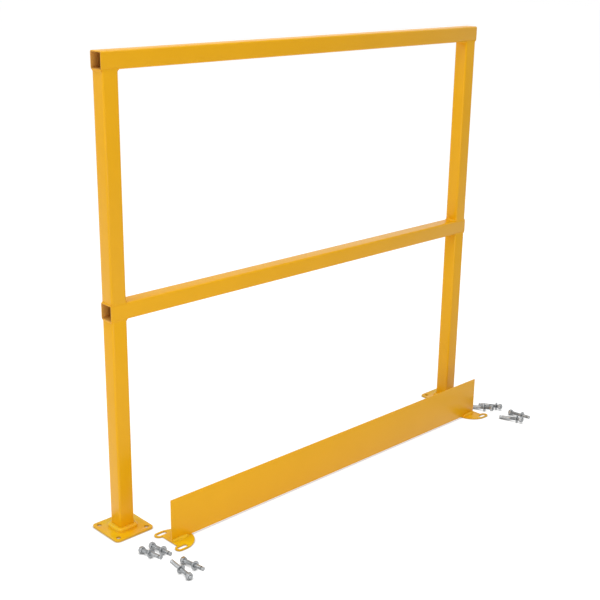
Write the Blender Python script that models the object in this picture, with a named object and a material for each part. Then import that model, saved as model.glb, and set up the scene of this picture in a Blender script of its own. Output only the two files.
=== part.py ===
"""Industrial guard rail: a welded square-tube frame on two base plates, its toe board and its anchors.

Units are metres, +Z is up and Z = 0 is the floor. The origin is the centre of the left base plate's
underside. +X runs along the rails to the right post, and the toe board and the anchors lie on the -Y side.
"""
import math

import bmesh
import bpy
from mathutils import Matrix, Vector

MM = 0.001

# Clearance between neighbouring pieces
GAP = 0.3 * MM

# Square tube of the whole frame
TUBE_SIDE = 38.1 * MM
TUBE_WALL = 3.05 * MM
TUBE_CORNER = 4.5 * MM
TUBE_ARC_STEPS = 5

# Frame
POST_SPACING = 1146.0 * MM
RAIL_HEIGHT = 1066.8 * MM
MID_RAIL_HEIGHT = 539.8 * MM
TOP_RAIL_OVERHANG = 2.4 * MM
MID_RAIL_OVERHANG = 1.8 * MM

# Base plates
BASE_SIDE = 101.6 * MM
BASE_THICKNESS = 4.8 * MM
BASE_CORNER = 9.5 * MM
BASE_CORNER_STEPS = 6
HOLE_PITCH = 76.2 * MM
HOLE_DIAMETER = 11.1 * MM
HOLE_SIDES = 20
PLATE_EDGE = 0.5 * MM

# Welds
FOOT_WELD_LEG = 9.0 * MM
JOINT_WELD_LEG = 8.0 * MM
OUTER_WELD_LEG = 6.0 * MM
OUTER_WELD_INSET = 0.3 * MM
TOE_WELD_LEG = 6.5 * MM
TOE_WELD_LENGTH = 44.0 * MM
WELD_HOLLOW = 0.12
WELD_END_SHARE = 0.45
DAB_PITCH = 8.0 * MM
DAB_HEIGHT = 0.4 * MM
DAB_STEPS = 3
ROUNDING_STEPS = 3

# Toe board and its feet
BOARD_PAST_SLOTS = 0.8 * MM
BOARD_HEIGHT = 101.6 * MM
BOARD_THICKNESS = 3.05 * MM
BOARD_EDGE = 0.5 * MM
BOARD_SHIFT = -4.5 * MM
BOARD_SET_FORWARD = 5.6 * MM
FOOT_THICKNESS = 3.2 * MM
FOOT_RIM = 4.45 * MM
FOOT_NOSE = 3.0 * MM
FOOT_LOBE = 8.0 * MM
FOOT_NOTCH = 5.5 * MM
FOOT_SLOT_LENGTH = 26.0 * MM
FOOT_EDGE = 0.4 * MM
FOOT_NOSE_STEPS = 12
FOOT_LOBE_STEPS = 8
FOOT_NOTCH_STEPS = 3
SLOT_END_STEPS = 8

# Where the toe board stands on the floor: its left slots' middle, seen from the left post
TOE_PLACE_X = 45.2 * MM
TOE_PLACE_Y = -124.2 * MM

# Wedge anchors
STUD_DIAMETER = 9.5 * MM
STUD_LENGTH = 69.9 * MM
STUD_SIDES = 16
STUD_END_CHAMFER = 0.9 * MM
NECK_DIAMETER = 7.2 * MM
NECK_LENGTH = 11.0 * MM
CONE_LENGTH = 4.0 * MM
TIP_LENGTH = 2.9 * MM
CLIP_WALL = 0.8 * MM
CLIP_SLIT_DEGREES = 24.0
NUT_FLATS = 14.3 * MM
NUT_HEIGHT = 8.3 * MM
NUT_FROM_END = 2.0 * MM
NUT_CORNER_DROP = 0.75 * MM
NUT_FACE_SHARE = 0.98
NUT_CROWN_SIDES = 24
WASHER_DIAMETER = 20.6 * MM
WASHER_THICKNESS = 1.65 * MM
WASHER_SIDES = 20
BALANCE_POINT = 30.0 * MM

# Where each anchor lies: the post it lies by, the nut's place seen from that post, the way its tip points,
# and how far along the stud its washer is
ANCHOR_PLACES = (
    ("left", -33.2, -120.3, -85.0, 35.5),
    ("left", -5.6, -120.3, -87.4, 43.0),
    ("left", -21.7, -272.0, 88.9, 35.5),
    ("left", 7.8, -214.8, -86.4, 43.0),
    ("right", 10.9, -163.1, 107.4, 28.0),
    ("right", 41.6, -169.4, 107.2, 17.5),
    ("right", 39.3, -209.3, -90.5, 45.0),
    ("right", 12.4, -264.2, 105.2, 18.5),
)

# Heights and places that follow from the sizes above
BASE_TOP = BASE_THICKNESS
POST_BOTTOM = BASE_TOP + GAP
TOP_RAIL_CENTRE = RAIL_HEIGHT - TUBE_SIDE / 2
TOP_RAIL_UNDERSIDE = RAIL_HEIGHT - TUBE_SIDE
MID_RAIL_CENTRE = MID_RAIL_HEIGHT - TUBE_SIDE / 2
MID_RAIL_UNDERSIDE = MID_RAIL_HEIGHT - TUBE_SIDE
FRAME_CENTRE = POST_SPACING / 2
POST_PLACES = {"left": 0.0, "right": POST_SPACING}
SLOT_WIDTH = HOLE_DIAMETER
SLOT_SPACING = POST_SPACING - HOLE_PITCH
FOOT_LOBE_RADIUS = SLOT_WIDTH / 2 + FOOT_RIM
FOOT_NOSE_RADIUS = HOLE_PITCH / 2 + FOOT_LOBE_RADIUS
FOOT_FILLET = FOOT_LOBE - FOOT_NOTCH
TOE_CENTRE_X = TOE_PLACE_X + SLOT_SPACING / 2
BOARD_LENGTH = SLOT_SPACING + 2 * BOARD_PAST_SLOTS
BOARD_CENTRE_X = TOE_CENTRE_X + BOARD_SHIFT
BOARD_CENTRE_Y = TOE_PLACE_Y - BOARD_SET_FORWARD
BOARD_BOTTOM = FOOT_THICKNESS + GAP
STUD_RADIUS = STUD_DIAMETER / 2
NECK_RADIUS = NECK_DIAMETER / 2
NECK_END = STUD_LENGTH - TIP_LENGTH - CONE_LENGTH
NECK_START = NECK_END - NECK_LENGTH
BORE_RADIUS = STUD_RADIUS + GAP

# Angles over which an edge stays sharp, in degrees
SMOOTH_ANGLE = 30.0
WELD_SMOOTH_ANGLE = 40.0

# Colour and roughness of the yellow coat and of the zinc plating
YELLOW = (0.78, 0.38, 0.02, 1.0)
COAT_ROUGHNESS = 0.4
ZINC = (0.52, 0.53, 0.54, 1.0)
ZINC_ROUGHNESS = 0.35


def clear_scene():
    for obj in list(bpy.data.objects):
        bpy.data.objects.remove(obj, do_unlink=True)


def make_material(name, colour, roughness, metallic):
    material = bpy.data.materials.new(name)
    material.use_nodes = True
    shader = material.node_tree.nodes["Principled BSDF"]
    shader.inputs["Base Color"].default_value = colour
    shader.inputs["Roughness"].default_value = roughness
    shader.inputs["Metallic"].default_value = metallic
    return material


def powder_coat(name):
    return make_material(name + "_coat", YELLOW, COAT_ROUGHNESS, 0.0)


def zinc_plate(name):
    return make_material(name + "_zinc", ZINC, ZINC_ROUGHNESS, 1.0)


def add_object(name, mesh, material=None, matrix=None):
    """Puts a mesh in the scene as a named sub-part with its own material."""
    obj = bpy.data.objects.new(name, mesh)
    bpy.context.scene.collection.objects.link(obj)
    if matrix is not None:
        obj.matrix_world = matrix
    if material is not None:
        mesh.materials.append(material)
    return obj


def finish_mesh(bm, name, smooth_angle=SMOOTH_ANGLE):
    """Turns a bmesh into a mesh with its faces out and its round parts smooth."""
    bmesh.ops.recalc_face_normals(bm, faces=bm.faces)
    mesh = bpy.data.meshes.new(name)
    bm.to_mesh(mesh)
    bm.free()
    mesh.shade_smooth()
    mesh.set_sharp_from_angle(angle=math.radians(smooth_angle))
    return mesh


def arc(centre, radius, start, end, steps):
    """Points on an arc from one angle to the other, in degrees, both ends included."""
    points = []
    for i in range(steps + 1):
        angle = math.radians(start + (end - start) * i / steps)
        points.append((centre[0] + radius * math.cos(angle), centre[1] + radius * math.sin(angle)))
    return points


def rounded_square(side, radius, steps):
    """Outline of a square with round corners about the origin, anticlockwise."""
    inset = side / 2 - radius
    points = []
    for quarter, (sx, sy) in enumerate(((1, 1), (-1, 1), (-1, -1), (1, -1))):
        start = quarter * 90.0
        points += arc((sx * inset, sy * inset), radius, start, start + 90.0, steps)
    return points


def tube_mesh(name, length):
    """Square tube along Z from 0 to its length, open at both ends."""
    outer = rounded_square(TUBE_SIDE, TUBE_CORNER, TUBE_ARC_STEPS)
    inner = rounded_square(TUBE_SIDE - 2 * TUBE_WALL, TUBE_CORNER - TUBE_WALL, TUBE_ARC_STEPS)
    bm = bmesh.new()
    loops = []
    for outline, height in ((outer, 0.0), (outer, length), (inner, length), (inner, 0.0)):
        loops.append([bm.verts.new((x, y, height)) for x, y in outline])
    count = len(outer)
    for k in range(4):
        lower, upper = loops[k], loops[(k + 1) % 4]
        for i in range(count):
            j = (i + 1) % count
            bm.faces.new((lower[i], lower[j], upper[j], upper[i]))
    return finish_mesh(bm, name)


def prism(outline, start, height):
    """Straight prism along Z on an outline."""
    bm = bmesh.new()
    base = bm.faces.new([bm.verts.new((x, y, start)) for x, y in outline])
    top = bmesh.ops.extrude_face_region(bm, geom=[base])
    top_verts = [v for v in top["geom"] if isinstance(v, bmesh.types.BMVert)]
    bmesh.ops.translate(bm, verts=top_verts, vec=(0.0, 0.0, height))
    return bm


def extruded_plate(name, outline, thickness, edge):
    """Flat plate with its underside at Z = 0 and a small bevel round both rims."""
    bm = prism(outline, 0.0, thickness)
    rims = [e for e in bm.edges if abs(e.verts[0].co.z - e.verts[1].co.z) < thickness / 2]
    bmesh.ops.bevel(bm, geom=rims, offset=edge, segments=1, affect="EDGES", profile=0.5)
    return finish_mesh(bm, name)


def cutter(name, mesh, matrix):
    obj = add_object(name, mesh, matrix=matrix)
    obj.hide_render = True
    obj.display_type = "WIRE"
    return obj


def cut(obj, tool, operation="DIFFERENCE"):
    modifier = obj.modifiers.new(tool.name, "BOOLEAN")
    modifier.operation = operation
    modifier.solver = "EXACT"
    modifier.object = tool


def rod_mesh(name, radius, length, sides):
    """Plain round bar about Z, half above and half below the origin."""
    bm = bmesh.new()
    bmesh.ops.create_cone(bm, cap_ends=True, segments=sides, radius1=radius, radius2=radius, depth=length)
    return finish_mesh(bm, name)


def along_x(x, y, z):
    """Turns a piece that is modelled along Z so that it runs along X from a given point."""
    return Matrix.Translation((x, y, z)) @ Matrix.Rotation(math.radians(90.0), 4, "Y")


def rail(name, centre_height, overhang):
    length = POST_SPACING + TUBE_SIDE + 2 * overhang
    start = FRAME_CENTRE - length / 2
    return add_object(name, tube_mesh(name, length), powder_coat(name), along_x(start, 0.0, centre_height))


def post(side, x):
    """One post: a lower length up to the middle rail, and an upper length from there to the top rail."""
    lengths = (
        ("lower", POST_BOTTOM, MID_RAIL_UNDERSIDE - GAP),
        ("upper", MID_RAIL_HEIGHT + GAP, TOP_RAIL_UNDERSIDE - GAP),
    )
    for place, bottom, top in lengths:
        name = side + "_post_" + place
        mesh = tube_mesh(name, top - bottom)
        add_object(name, mesh, powder_coat(name), Matrix.Translation((x, 0.0, bottom)))


def base_plate(side, x):
    """Square plate under a post, with an anchor hole near each corner."""
    name = side + "_base_plate"
    outline = rounded_square(BASE_SIDE, BASE_CORNER, BASE_CORNER_STEPS)
    plate = add_object(name, extruded_plate(name, outline, BASE_THICKNESS, PLATE_EDGE), powder_coat(name),
                       Matrix.Translation((x, 0.0, 0.0)))
    for column in (-1, 1):
        for row in (-1, 1):
            place = (x + column * HOLE_PITCH / 2, row * HOLE_PITCH / 2, BASE_THICKNESS / 2)
            tool_name = "%s_hole_%d_%d" % (side, column, row)
            tool_mesh = rod_mesh(tool_name, HOLE_DIAMETER / 2, 3 * BASE_THICKNESS, HOLE_SIDES)
            cut(plate, cutter(tool_name, tool_mesh, Matrix.Translation(place)))


def weld_section(leg, swell):
    """Section of a fillet weld in its corner: across from one face, up along the other, a little hollow."""
    size = leg + swell
    far = size * (2 / 3 - WELD_HOLLOW)
    near = size * (1 / 3 - WELD_HOLLOW)
    return ((0.0, 0.0), (size, 0.0), (far, near), (near, far), (0.0, size))


def dab_at(distance, pitch=DAB_PITCH):
    """How much the weld swells at a distance along it, from one dab of weld to the next."""
    return DAB_HEIGHT * math.sin(2 * math.pi * distance / pitch)


def stations(length):
    """Even steps along a weld, a few to each dab."""
    count = max(4, round(length / DAB_PITCH * DAB_STEPS))
    return [length * i / count for i in range(count + 1)]


def close_loft(bm, rings, closed):
    """Joins a row of sections into one solid, as a ring or with a cap at each end."""
    count = len(rings[0])
    last = len(rings) if closed else len(rings) - 1
    for k in range(last):
        here, there = rings[k], rings[(k + 1) % len(rings)]
        for i in range(count):
            j = (i + 1) % count
            bm.faces.new((here[i], here[j], there[j], there[i]))
    if not closed:
        bm.faces.new(rings[0])
        bm.faces.new(rings[-1])


def turned_out(degrees):
    return Vector((math.cos(math.radians(degrees)), math.sin(math.radians(degrees))))


def foot_weld_path():
    """Steps round a post's foot, as (corner centre, direction out, distance so far), and the whole length."""
    straight = TUBE_SIDE - 2 * TUBE_CORNER
    bend = math.pi / 2 * (TUBE_CORNER + FOOT_WELD_LEG / 2)
    path = []
    distance = 0.0
    for quarter, (sx, sy) in enumerate(((1, 1), (-1, 1), (-1, -1), (1, -1))):
        centre = Vector((sx, sy)) * straight / 2
        for i in range(TUBE_ARC_STEPS + 1):
            share = i / TUBE_ARC_STEPS
            path.append((centre, turned_out(90.0 * (quarter + share)), distance + bend * share))
        distance += bend
        out = turned_out(90.0 * (quarter + 1))
        along = turned_out(90.0 * (quarter + 2))
        for step in stations(straight)[1:-1]:
            path.append((centre + along * step, out, distance + step))
        distance += straight
    return path, distance


def foot_weld(side, x):
    """Fillet weld all round a post, on its base plate."""
    name = side + "_foot_weld"
    path, length = foot_weld_path()
    pitch = length / round(length / DAB_PITCH)
    bm = bmesh.new()
    loops = []
    for centre, out, distance in path:
        loop = []
        for across, up in weld_section(FOOT_WELD_LEG, dab_at(distance, pitch)):
            point = centre + out * (TUBE_CORNER + GAP + across)
            loop.append(bm.verts.new((point.x, point.y, up)))
        loops.append(loop)
    close_loft(bm, loops, True)
    place = Matrix.Translation((x, 0.0, BASE_TOP + GAP))
    add_object(name, finish_mesh(bm, name, WELD_SMOOTH_ANGLE), powder_coat(name), place)


def across_tube():
    """Places across a tube from side to side: a few to each dab of weld, and closer round its corners."""
    flat = TUBE_SIDE / 2 - TUBE_CORNER
    corner = []
    for i in range(1, ROUNDING_STEPS + 1):
        corner.append(flat + TUBE_CORNER * math.sin(math.pi / 2 * i / ROUNDING_STEPS))
    face = [step - flat for step in stations(2 * flat)]
    return [-y for y in reversed(corner)] + face + corner


def fall_at(y):
    """How far a tube's face has fallen away at a place across it, where its corner rounds off."""
    past = max(0.0, abs(y) - (TUBE_SIDE / 2 - TUBE_CORNER))
    return TUBE_CORNER - math.sqrt(max(0.0, TUBE_CORNER ** 2 - past ** 2))


def joint_section(y, overhang):
    """Section of the weld round a post's end, uncut by rail and post, as (inward, away from the rail)."""
    half = TUBE_SIDE / 2
    bay_side = weld_section(JOINT_WELD_LEG - fall_at(y), dab_at(y))[1:]
    outer_across = overhang - OUTER_WELD_INSET
    outer_side = weld_section(1.0, 0.0)[1:]
    section = [(half + across, away) for across, away in bay_side]
    section.append((half - TUBE_CORNER, JOINT_WELD_LEG / 2))
    section.append((TUBE_CORNER - half, OUTER_WELD_LEG / 2))
    for across, away in reversed(outer_side):
        section.append((-half - across * outer_across, away * OUTER_WELD_LEG))
    section += [(-half, -TUBE_CORNER), (half, -TUBE_CORNER)]
    return section


def tube_room(name, length, matrix):
    """Cutter for a tube's place, larger by the clearance all round."""
    outline = rounded_square(TUBE_SIDE + 2 * GAP, TUBE_CORNER + GAP, TUBE_ARC_STEPS)
    return cutter(name, finish_mesh(prism(outline, 0.0, length), name), matrix)


def joint_weld(name, x, inward, face_height, away, overhang):
    """Weld all round a post's end where it meets a rail.

    It is a fillet in the bay, a bead by the rail's open end, and flush at front and back, where it fills the
    groove beside the rail's round corner.

    inward is the direction from the post into the bay, and away points from the rail's face along the post.
    """
    bm = bmesh.new()
    loops = []
    for y in across_tube():
        loops.append([bm.verts.new((inward * px, y, away * pz)) for px, pz in joint_section(y, overhang)])
    close_loft(bm, loops, False)
    place = Matrix.Translation((x, 0.0, face_height))
    weld = add_object(name, finish_mesh(bm, name, WELD_SMOOTH_ANGLE), powder_coat(name), place)
    reach = 2 * TUBE_SIDE
    rail_centre = face_height - away * TUBE_SIDE / 2
    cut(weld, tube_room(name + "_rail_room", reach, along_x(x - reach / 2, 0.0, rail_centre)))
    post_start = face_height if away > 0 else face_height - reach
    cut(weld, tube_room(name + "_post_room", reach, Matrix.Translation((x, 0.0, post_start))))


def frame_post_set(side, x, inward):
    """Everything at one end of the frame: plate, post and welds."""
    base_plate(side, x)
    post(side, x)
    foot_weld(side, x)
    joint_weld(side + "_top_weld", x, inward, TOP_RAIL_UNDERSIDE, -1, TOP_RAIL_OVERHANG)
    joint_weld(side + "_mid_weld_below", x, inward, MID_RAIL_UNDERSIDE, -1, MID_RAIL_OVERHANG)
    joint_weld(side + "_mid_weld_above", x, inward, MID_RAIL_HEIGHT, 1, MID_RAIL_OVERHANG)


def foot_outline():
    """Crescent outline of a toe board foot: a round nose, two lobes with a notch between. +X is the nose."""
    half_pitch = HOLE_PITCH / 2
    lobe_x = -FOOT_LOBE
    notch_y = half_pitch - FOOT_LOBE_RADIUS - FOOT_FILLET
    upper = arc((FOOT_NOSE, 0.0), FOOT_NOSE_RADIUS, 0.0, 90.0, FOOT_NOSE_STEPS)
    upper += arc((lobe_x, half_pitch), FOOT_LOBE_RADIUS, 90.0, 270.0, FOOT_LOBE_STEPS)
    upper += arc((lobe_x, notch_y), FOOT_FILLET, 90.0, 0.0, FOOT_NOTCH_STEPS)[1:]
    lower = [(px, -py) for px, py in reversed(upper)]
    return upper + lower[:-1]


def slot_mesh(name):
    """Cutter for a slot with round ends along X."""
    radius = SLOT_WIDTH / 2
    reach = FOOT_SLOT_LENGTH / 2 - radius
    outline = arc((reach, 0.0), radius, -90.0, 90.0, SLOT_END_STEPS)
    outline += arc((-reach, 0.0), radius, 90.0, 270.0, SLOT_END_STEPS)
    return finish_mesh(prism(outline, -FOOT_THICKNESS, 3 * FOOT_THICKNESS), name)


def toe_foot(side, x, inward):
    """Foot of the toe board, with two slots that go over the inner anchors of a base plate."""
    name = side + "_toe_foot"
    outline = [(inward * px, py) for px, py in foot_outline()]
    place = Matrix.Translation((x, TOE_PLACE_Y, 0.0))
    mesh = extruded_plate(name, outline, FOOT_THICKNESS, FOOT_EDGE)
    foot = add_object(name, mesh, powder_coat(name), place)
    for row in (-1, 1):
        tool_name = "%s_slot_%d" % (side, row)
        tool_place = place @ Matrix.Translation((0.0, row * HOLE_PITCH / 2, 0.0))
        cut(foot, cutter(tool_name, slot_mesh(tool_name), tool_place))


def toe_board():
    name = "toe_board"
    bm = bmesh.new()
    bmesh.ops.create_cube(bm, size=1.0)
    bmesh.ops.scale(bm, vec=(BOARD_LENGTH, BOARD_THICKNESS, BOARD_HEIGHT), verts=bm.verts)
    bmesh.ops.bevel(bm, geom=bm.edges[:], offset=BOARD_EDGE, segments=1, affect="EDGES", profile=0.5)
    place = Matrix.Translation((BOARD_CENTRE_X, BOARD_CENTRE_Y, BOARD_BOTTOM + BOARD_HEIGHT / 2))
    add_object(name, finish_mesh(bm, name), powder_coat(name), place)


def toe_weld(name, start_x, direction, front):
    """Fillet weld between the toe board and a foot, with both its ends run out. front is -1 or +1 in Y."""
    bm = bmesh.new()
    loops = []
    for step in stations(TOE_WELD_LENGTH):
        share = step / TOE_WELD_LENGTH
        taper = WELD_END_SHARE + (1 - WELD_END_SHARE) * math.sqrt(abs(math.sin(math.pi * share)))
        loop = []
        for across, up in weld_section(TOE_WELD_LEG * taper, dab_at(step)):
            loop.append(bm.verts.new((direction * step, front * across, up)))
        loops.append(loop)
    close_loft(bm, loops, False)
    face = BOARD_CENTRE_Y + front * (BOARD_THICKNESS / 2 + GAP)
    place = Matrix.Translation((start_x, face, FOOT_THICKNESS + GAP))
    add_object(name, finish_mesh(bm, name, WELD_SMOOTH_ANGLE), powder_coat(name), place)


def toe_board_set():
    """The toe board on its two feet, as it stands on the floor in front of the frame."""
    toe_board()
    for side, sign in (("left", -1), ("right", 1)):
        foot_x = TOE_CENTRE_X + sign * SLOT_SPACING / 2
        toe_foot(side, foot_x, -sign)
        board_end = BOARD_CENTRE_X + sign * BOARD_LENGTH / 2
        weld_start = board_end - sign * BOARD_EDGE * 2
        toe_weld(side + "_toe_weld_front", weld_start, -sign, -1)
        toe_weld(side + "_toe_weld_back", weld_start, -sign, 1)


def turned_mesh(name, profile, sides, hollow=False):
    """Solid turned about X from (place along X, radius) points: a hollow ring, or closed by flat ends."""
    bm = bmesh.new()
    rings = []
    for along, radius in profile:
        ring = []
        for i in range(sides):
            angle = 2 * math.pi * i / sides
            ring.append(bm.verts.new((along, radius * math.cos(angle), radius * math.sin(angle))))
        rings.append(ring)
    close_loft(bm, rings, hollow)
    return finish_mesh(bm, name)


def stud_mesh():
    """Anchor stud: threaded end at X = 0, plain shank, neck, and the cone that spreads the clip."""
    profile = (
        (0.0, STUD_RADIUS - STUD_END_CHAMFER),
        (STUD_END_CHAMFER, STUD_RADIUS),
        (NECK_START, STUD_RADIUS),
        (NECK_START, NECK_RADIUS),
        (NECK_END, NECK_RADIUS),
        (NECK_END + CONE_LENGTH, STUD_RADIUS),
        (STUD_LENGTH - STUD_END_CHAMFER, STUD_RADIUS),
        (STUD_LENGTH, STUD_RADIUS - STUD_END_CHAMFER),
    )
    return turned_mesh("anchor_stud", profile, STUD_SIDES)


def clip_mesh():
    """Expansion clip: a split sleeve round the stud's neck, with the slit on its underside."""
    inner = NECK_RADIUS + GAP
    outer = inner + CLIP_WALL
    start, end = NECK_START + GAP, NECK_END - GAP
    sweep = 360.0 - CLIP_SLIT_DEGREES
    first = -90.0 + CLIP_SLIT_DEGREES / 2
    outside = arc((0.0, 0.0), outer, first, first + sweep, STUD_SIDES - 2)
    inside = arc((0.0, 0.0), inner, first, first + sweep, STUD_SIDES - 2)
    bm = bmesh.new()
    rings = []
    for (oy, oz), (iy, iz) in zip(outside, inside):
        corners = ((start, oy, oz), (end, oy, oz), (end, iy, iz), (start, iy, iz))
        rings.append([bm.verts.new(corner) for corner in corners])
    close_loft(bm, rings, False)
    return finish_mesh(bm, "anchor_clip")


def nut_mesh():
    """Hexagon nut about X with its corners turned down at both faces, centred on the origin."""
    corner_radius = NUT_FLATS / math.sqrt(3.0)
    face_radius = NUT_FLATS / 2 * NUT_FACE_SHARE
    half = NUT_HEIGHT / 2
    blank_profile = ((-half, corner_radius), (half, corner_radius))
    blank = add_object("nut_blank", turned_mesh("nut_blank", blank_profile, 6))
    drop = NUT_CORNER_DROP
    turned_profile = ((-half, face_radius), (-half + drop, corner_radius), (half - drop, corner_radius),
                      (half, face_radius))
    crown = cutter("nut_crown", turned_mesh("nut_crown", turned_profile, NUT_CROWN_SIDES), Matrix.Identity(4))
    bore_profile = ((-NUT_HEIGHT, BORE_RADIUS), (NUT_HEIGHT, BORE_RADIUS))
    bore = cutter("nut_bore", turned_mesh("nut_bore", bore_profile, STUD_SIDES), Matrix.Identity(4))
    cut(blank, crown, "INTERSECT")
    cut(blank, bore)
    bpy.context.view_layer.update()
    depsgraph = bpy.context.evaluated_depsgraph_get()
    mesh = bpy.data.meshes.new_from_object(blank.evaluated_get(depsgraph))
    mesh.name = "anchor_nut"
    for obj in (blank, crown, bore):
        bpy.data.objects.remove(obj, do_unlink=True)
    mesh.shade_smooth()
    mesh.set_sharp_from_angle(angle=math.radians(SMOOTH_ANGLE))
    return mesh


def anchor_matrix(x, y, heading, washer_at):
    """Lays an anchor on the floor: on nut and washer, or on washer and tip if the washer is near the nut."""
    nut_at = NUT_FROM_END + NUT_HEIGHT / 2
    washer_radius = WASHER_DIAMETER / 2
    if washer_at > BALANCE_POINT:
        other_at, other_radius = nut_at, NUT_FLATS / 2
    else:
        other_at, other_radius = STUD_LENGTH, STUD_RADIUS
    tilt = math.atan((washer_radius - other_radius) / (washer_at - other_at))
    rims = (
        (washer_at - WASHER_THICKNESS / 2, washer_radius),
        (washer_at + WASHER_THICKNESS / 2, washer_radius),
        (NUT_FROM_END, NUT_FLATS / 2),
        (NUT_FROM_END + NUT_HEIGHT, NUT_FLATS / 2),
        (STUD_LENGTH - STUD_END_CHAMFER, STUD_RADIUS),
    )
    low = min(along * math.sin(tilt) - radius * math.cos(tilt) for along, radius in rims)
    turn = Matrix.Rotation(math.radians(heading), 4, "Z") @ Matrix.Rotation(-tilt, 4, "Y")
    nut_out = turn @ Vector((nut_at, 0.0, 0.0))
    return Matrix.Translation((x - nut_out.x, y - nut_out.y, -low)) @ turn


def anchors():
    """The loose anchors, each a stud with its clip, nut and washer."""
    stud = stud_mesh()
    clip = clip_mesh()
    nut = nut_mesh()
    washer_profile = (
        (-WASHER_THICKNESS / 2, BORE_RADIUS),
        (-WASHER_THICKNESS / 2, WASHER_DIAMETER / 2),
        (WASHER_THICKNESS / 2, WASHER_DIAMETER / 2),
        (WASHER_THICKNESS / 2, BORE_RADIUS),
    )
    washer = turned_mesh("anchor_washer", washer_profile, WASHER_SIDES, hollow=True)
    for number, (side, x, y, heading, washer_at) in enumerate(ANCHOR_PLACES, start=1):
        lie = anchor_matrix(POST_PLACES[side] + x * MM, y * MM, heading, washer_at * MM)
        nut_shift = Matrix.Translation((NUT_FROM_END + NUT_HEIGHT / 2, 0.0, 0.0))
        washer_shift = Matrix.Translation((washer_at * MM, 0.0, 0.0))
        pieces = (("stud", stud, lie), ("clip", clip, lie), ("nut", nut, lie @ nut_shift),
                  ("washer", washer, lie @ washer_shift))
        for piece, mesh, matrix in pieces:
            name = "anchor_%d_%s" % (number, piece)
            add_object(name, mesh.copy(), zinc_plate(name), matrix)


def main():
    clear_scene()
    rail("top_rail", TOP_RAIL_CENTRE, TOP_RAIL_OVERHANG)
    rail("mid_rail", MID_RAIL_CENTRE, MID_RAIL_OVERHANG)
    frame_post_set("left", POST_PLACES["left"], 1)
    frame_post_set("right", POST_PLACES["right"], -1)
    toe_board_set()
    anchors()
    bpy.context.view_layer.update()


main()
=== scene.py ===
"""Industrial guard rail set: the coat, the welds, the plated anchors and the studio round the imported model.

Every length is in metres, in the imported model's own frame: +X runs along the rails, +Z is up, Z = 0 is the
floor, and the origin is the centre of the left base plate's underside.
"""
import math
import random

import bmesh
import bpy
import numpy as np
from bpy.props import FloatProperty, FloatVectorProperty, IntProperty, PointerProperty
from mathutils import Matrix, Vector


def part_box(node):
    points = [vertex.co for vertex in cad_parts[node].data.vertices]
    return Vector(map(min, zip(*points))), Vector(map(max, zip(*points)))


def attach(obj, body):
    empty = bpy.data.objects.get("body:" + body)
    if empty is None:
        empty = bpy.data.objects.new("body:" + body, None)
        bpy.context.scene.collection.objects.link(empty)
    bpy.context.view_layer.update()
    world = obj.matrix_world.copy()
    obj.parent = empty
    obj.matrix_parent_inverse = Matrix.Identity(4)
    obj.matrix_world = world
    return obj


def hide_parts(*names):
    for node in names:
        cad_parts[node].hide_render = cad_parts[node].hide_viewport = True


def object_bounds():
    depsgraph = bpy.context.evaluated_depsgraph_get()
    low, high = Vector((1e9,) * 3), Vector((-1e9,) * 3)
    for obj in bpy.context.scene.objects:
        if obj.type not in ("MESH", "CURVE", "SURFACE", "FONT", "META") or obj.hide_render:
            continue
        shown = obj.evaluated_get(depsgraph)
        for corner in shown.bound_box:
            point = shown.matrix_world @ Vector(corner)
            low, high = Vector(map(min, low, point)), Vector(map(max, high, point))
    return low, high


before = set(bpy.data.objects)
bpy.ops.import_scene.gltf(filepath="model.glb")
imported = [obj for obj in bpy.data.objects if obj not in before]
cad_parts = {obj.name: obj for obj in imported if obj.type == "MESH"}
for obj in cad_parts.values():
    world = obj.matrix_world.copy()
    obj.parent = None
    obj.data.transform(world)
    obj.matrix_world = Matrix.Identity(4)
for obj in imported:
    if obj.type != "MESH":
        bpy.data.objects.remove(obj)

bl_info = {
    "name": "Guard Rail Set",
    "version": (1, 0, 0),
    "blender": (4, 5, 0),
    "location": "View3D > Sidebar > Guard Rail",
    "description": "Powder-coated guard rail frame, toe board and wedge anchors, with their studio",
    "category": "Add Mesh",
}

MM = 0.001
BODY = "root"
ANCHOR_COUNT = 8
X_AXIS, Z_AXIS = 0, 2
WHITE = (1.0, 1.0, 1.0, 1.0)
BLACK = (0.0, 0.0, 0.0, 1.0)

# The two ends of the set, each with the way along X to the middle
SIDES = {"left": 1, "right": -1}

# How near a point counts as in place, the cosine past which an edge or face counts as straight, and how near
# two points are merged: on a new piece, and on a copy of a CAD node
GRIP = 0.05 * MM
STRAIGHT = 0.999
MERGE = 0.002 * MM
CAD_MERGE = 0.01 * MM

# Joint welds: name, rail, and the way along Z from the rail to the weld
JOINTS = (
    ("top_weld", "top_rail", -1),
    ("mid_weld_below", "mid_rail", -1),
    ("mid_weld_above", "mid_rail", 1),
)

# Dabs of weld: where a dab's middle lies and how high it rises, as shares of the weld's leg
DABS = {"foot": (0.45, 0.4), "toe": (0.4, 0.28), "joint": (0.3, 0.07)}

# How dabs vary: half width as a share of the leg, rise as a share of the usual one, and shift in steps. Then
# half a dab's length in ripple pitches, and the steps of the foot weld's route round a post's corner
DAB_HALF_WIDTH = (0.5, 0.56)
DAB_RISE = (0.88, 1.08)
DAB_SHIFT = 0.12
DAB_HALF_LENGTH = 0.9
CORNER_STEPS = 4

# Roughness from the glossiest to the dullest patches, and inside a tube. Then the coat's specular level, and
# how unevenly its dusting ends inside a tube, and the painted shade with it
COAT_ROUGHNESS = (0.28, 0.36)
WELD_ROUGHNESS = (0.26, 0.34)
ZINC_ROUGHNESS = (0.28, 0.46)
BORE_ROUGHNESS = 0.6
COAT_SPECULAR = 0.25
DUST_UNEVENNESS = 20 * MM

# The plating's patches and grain, both drawn as coarse as they need to show
ZINC_PATCH = 4 * MM
ZINC_GRAIN = 0.5 * MM
ZINC_RELIEF = 0.01 * MM
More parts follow.
